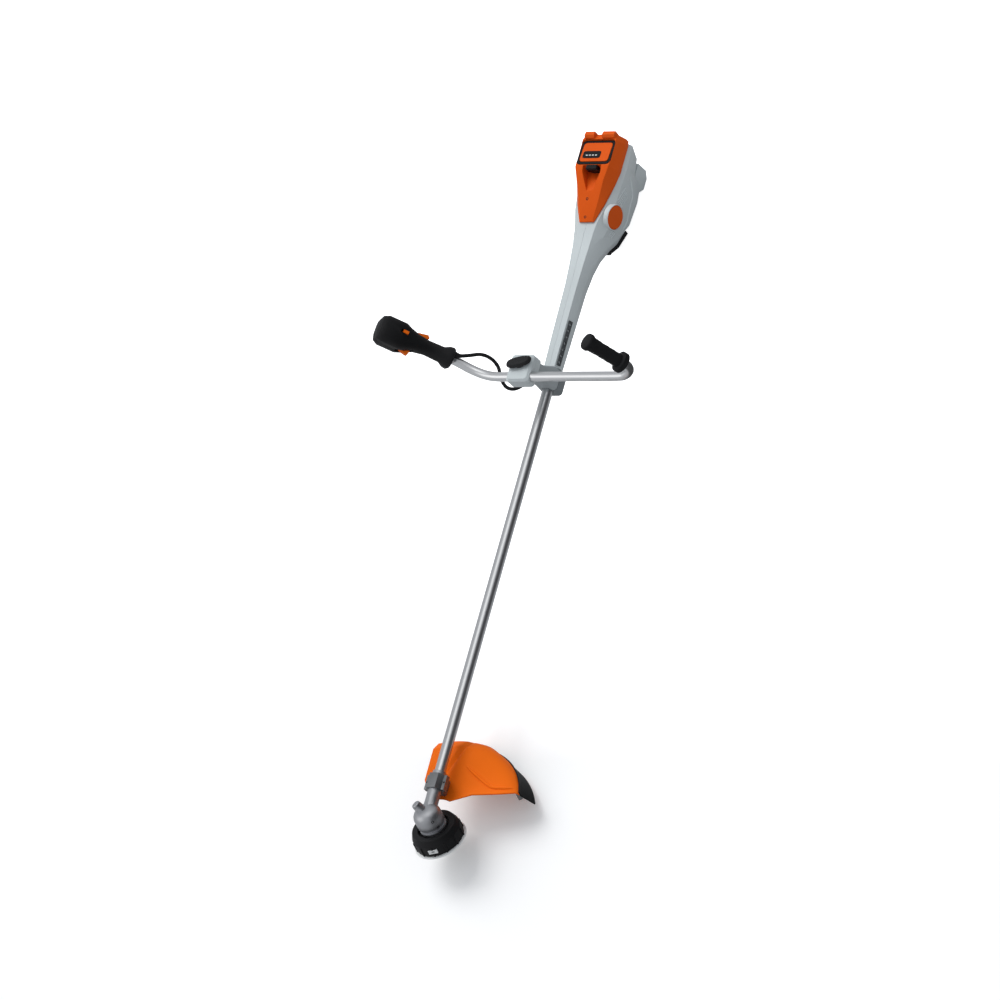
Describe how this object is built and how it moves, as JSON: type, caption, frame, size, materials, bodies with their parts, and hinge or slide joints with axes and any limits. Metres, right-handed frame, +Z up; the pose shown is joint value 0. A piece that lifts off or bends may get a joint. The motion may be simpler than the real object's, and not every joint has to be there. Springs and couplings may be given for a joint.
{
  "type": "brush cutter",
  "caption": "Cordless brush cutter with a bike handlebar, rear battery motor, straight shaft, bevel gearbox, bump-feed mowing head and guard.",
  "frame": {"origin": "middle of the bounding box on the ground, with the machine lying on its guard and rear foot", "axes": "+X forward along the shaft to the cutting head, +Y to the operator's left, +Z up"},
  "size_m": [1.7906, 0.6248, 0.4335],
  "materials": {
    "orange_plastic": "moulded, satin gloss",
    "grey_plastic": "moulded, fine grain",
    "black_plastic": "moulded, fine grain",
    "white_plastic": "moulded, smooth",
    "black_rubber": "matt",
    "aluminium": "drawn, bright",
    "cast_aluminium": "die cast, blasted",
    "steel": "ground",
    "copper": "wound copper and laminations",
    "board_green": "potted board"
  },
  "bodies": {
    "machine": {"pinion_bearing": "steel", "upper_spindle_bearing": "steel", "lower_spindle_bearing": "steel", "spindle_seal": "black_rubber", "gearbox_housing": "cast_aluminium", "filler_plug": "black_plastic", "shaft_tube": "aluminium", "drive_shaft_bush_1": "black_rubber", "drive_shaft_bush_2": "black_rubber", "drive_shaft_bush_3": "black_rubber", "guard_shell": "orange_plastic", "guard_skirt": "black_plastic", "line_limiter_blade": "steel", "guard_clamp_lower": "cast_aluminium", "guard_clamp_upper": "cast_aluminium", "handle_support": "grey_plastic", "support_strap": "grey_plastic", "knob_screw": "steel", "motor_housing_right": "grey_plastic", "motor_housing_left": "grey_plastic", "battery_bay_lid": "orange_plastic", "motor_stator": "steel", "controller_board": "board_green", "air_intake_grille": "black_plastic", "rear_foot": "grey_plastic", "side_cap": "orange_plastic", "harness_rail": "black_plastic", "control_cable": "black_rubber"},
    "drive_line": {"motor_rotor": "copper", "cooling_fan": "black_plastic", "shaft_coupling": "steel", "drive_shaft": "steel", "bevel_pinion": "steel"},
    "mowing_head": {"crown_gear": "steel", "output_spindle": "steel", "drive_plate": "steel", "mowing_head_body": "black_plastic", "line_eyelet_1": "white_plastic", "line_eyelet_2": "white_plastic", "head_rim_plate": "white_plastic", "spindle_nut": "steel"},
    "bump_feed": {"line_spool": "black_plastic", "bump_cap": "black_plastic", "spool_spring": "steel"},
    "handlebar": {"bar_saddle": "grey_plastic", "bar_cap": "grey_plastic", "handlebar_tube": "aluminium", "left_grip": "black_rubber", "control_handle_right_shell": "black_plastic", "control_handle_left_shell": "black_plastic", "trigger_pin": "steel", "lockout_pin": "steel", "trigger_switch": "black_plastic"},
    "knob": {"clamp_knob": "black_plastic"},
    "trigger_lever": {"trigger": "orange_plastic"},
    "lockout": {"lockout_lever": "orange_plastic"},
    "slider": {"mode_slider": "orange_plastic"},
    "battery": {"battery_pack": "black_plastic", "battery_panel": "orange_plastic"},
    "latch": {"battery_latch": "black_plastic"}
  },
  "joints": [
    {"name": "drive_line_spin", "type": "hinge", "parent": "machine", "child": "drive_line", "pos_m": [-0.24412, -0.00991, 0.11525], "axis": [0.9999, 0, 0.0166], "continuous": true},
    {"name": "mowing_head_spin", "type": "hinge", "parent": "machine", "child": "mowing_head", "pos_m": [0.80874, -0.00991, 0.13269], "axis": [-0.3575, 0, 0.9339], "continuous": true},
    {"name": "bump_feed_slide", "type": "slide", "parent": "mowing_head", "child": "bump_feed", "axis": [-0.3575, 0, 0.9339], "range_m": [0, 0.005], "stiffness_N_per_m": 800, "springref_m": -0.006, "deforming": ["spool_spring"]},
    {"name": "handlebar_swivel", "type": "hinge", "parent": "machine", "child": "handlebar", "pos_m": [-0.27193, -0.00991, 0.22481], "axis": [-0.0166, 0, 0.9999], "range_deg": [0, 90], "deforming": ["control_cable"]},
    {"name": "clamp_knob_turn", "type": "hinge", "parent": "handlebar", "child": "knob", "pos_m": [-0.2722, -0.00991, 0.2408], "axis": [-0.0166, 0, 0.9999], "range_deg": [0, 540]},
    {"name": "trigger_pull", "type": "hinge", "parent": "handlebar", "child": "trigger_lever", "pos_m": [-0.26083, -0.25746, 0.37316], "axis": [-0.0103, 0.7828, 0.6222], "range_deg": [0, 14], "stiffness_Nm_per_rad": 0.3, "springref_deg": -6.88},
    {"name": "lockout_press", "type": "hinge", "parent": "handlebar", "child": "lockout", "pos_m": [-0.28835, -0.24021, 0.351], "axis": [0.0103, -0.7828, -0.6222], "range_deg": [0, 10], "stiffness_Nm_per_rad": 0.3, "springref_deg": -6.88},
    {"name": "mode_slide", "type": "slide", "parent": "handlebar", "child": "slider", "axis": [-0.073, -0.6211, 0.7803], "range_m": [0, 0.005]},
    {"name": "battery_slide", "type": "slide", "parent": "machine", "child": "battery", "axis": [-0.1036, 0, 0.9946], "range_m": [0, 0.085]},
    {"name": "battery_latch_swing", "type": "hinge", "parent": "machine", "child": "latch", "pos_m": [-0.8063, -0.00991, 0.15195], "axis": [0, 1, 0], "range_deg": [0, 9], "stiffness_Nm_per_rad": 0.3, "springref_deg": -6.88}
  ],
  "couplings": [
    {"joint": "mowing_head_spin", "follows": "drive_line_spin", "ratio": -0.75}
  ]
}
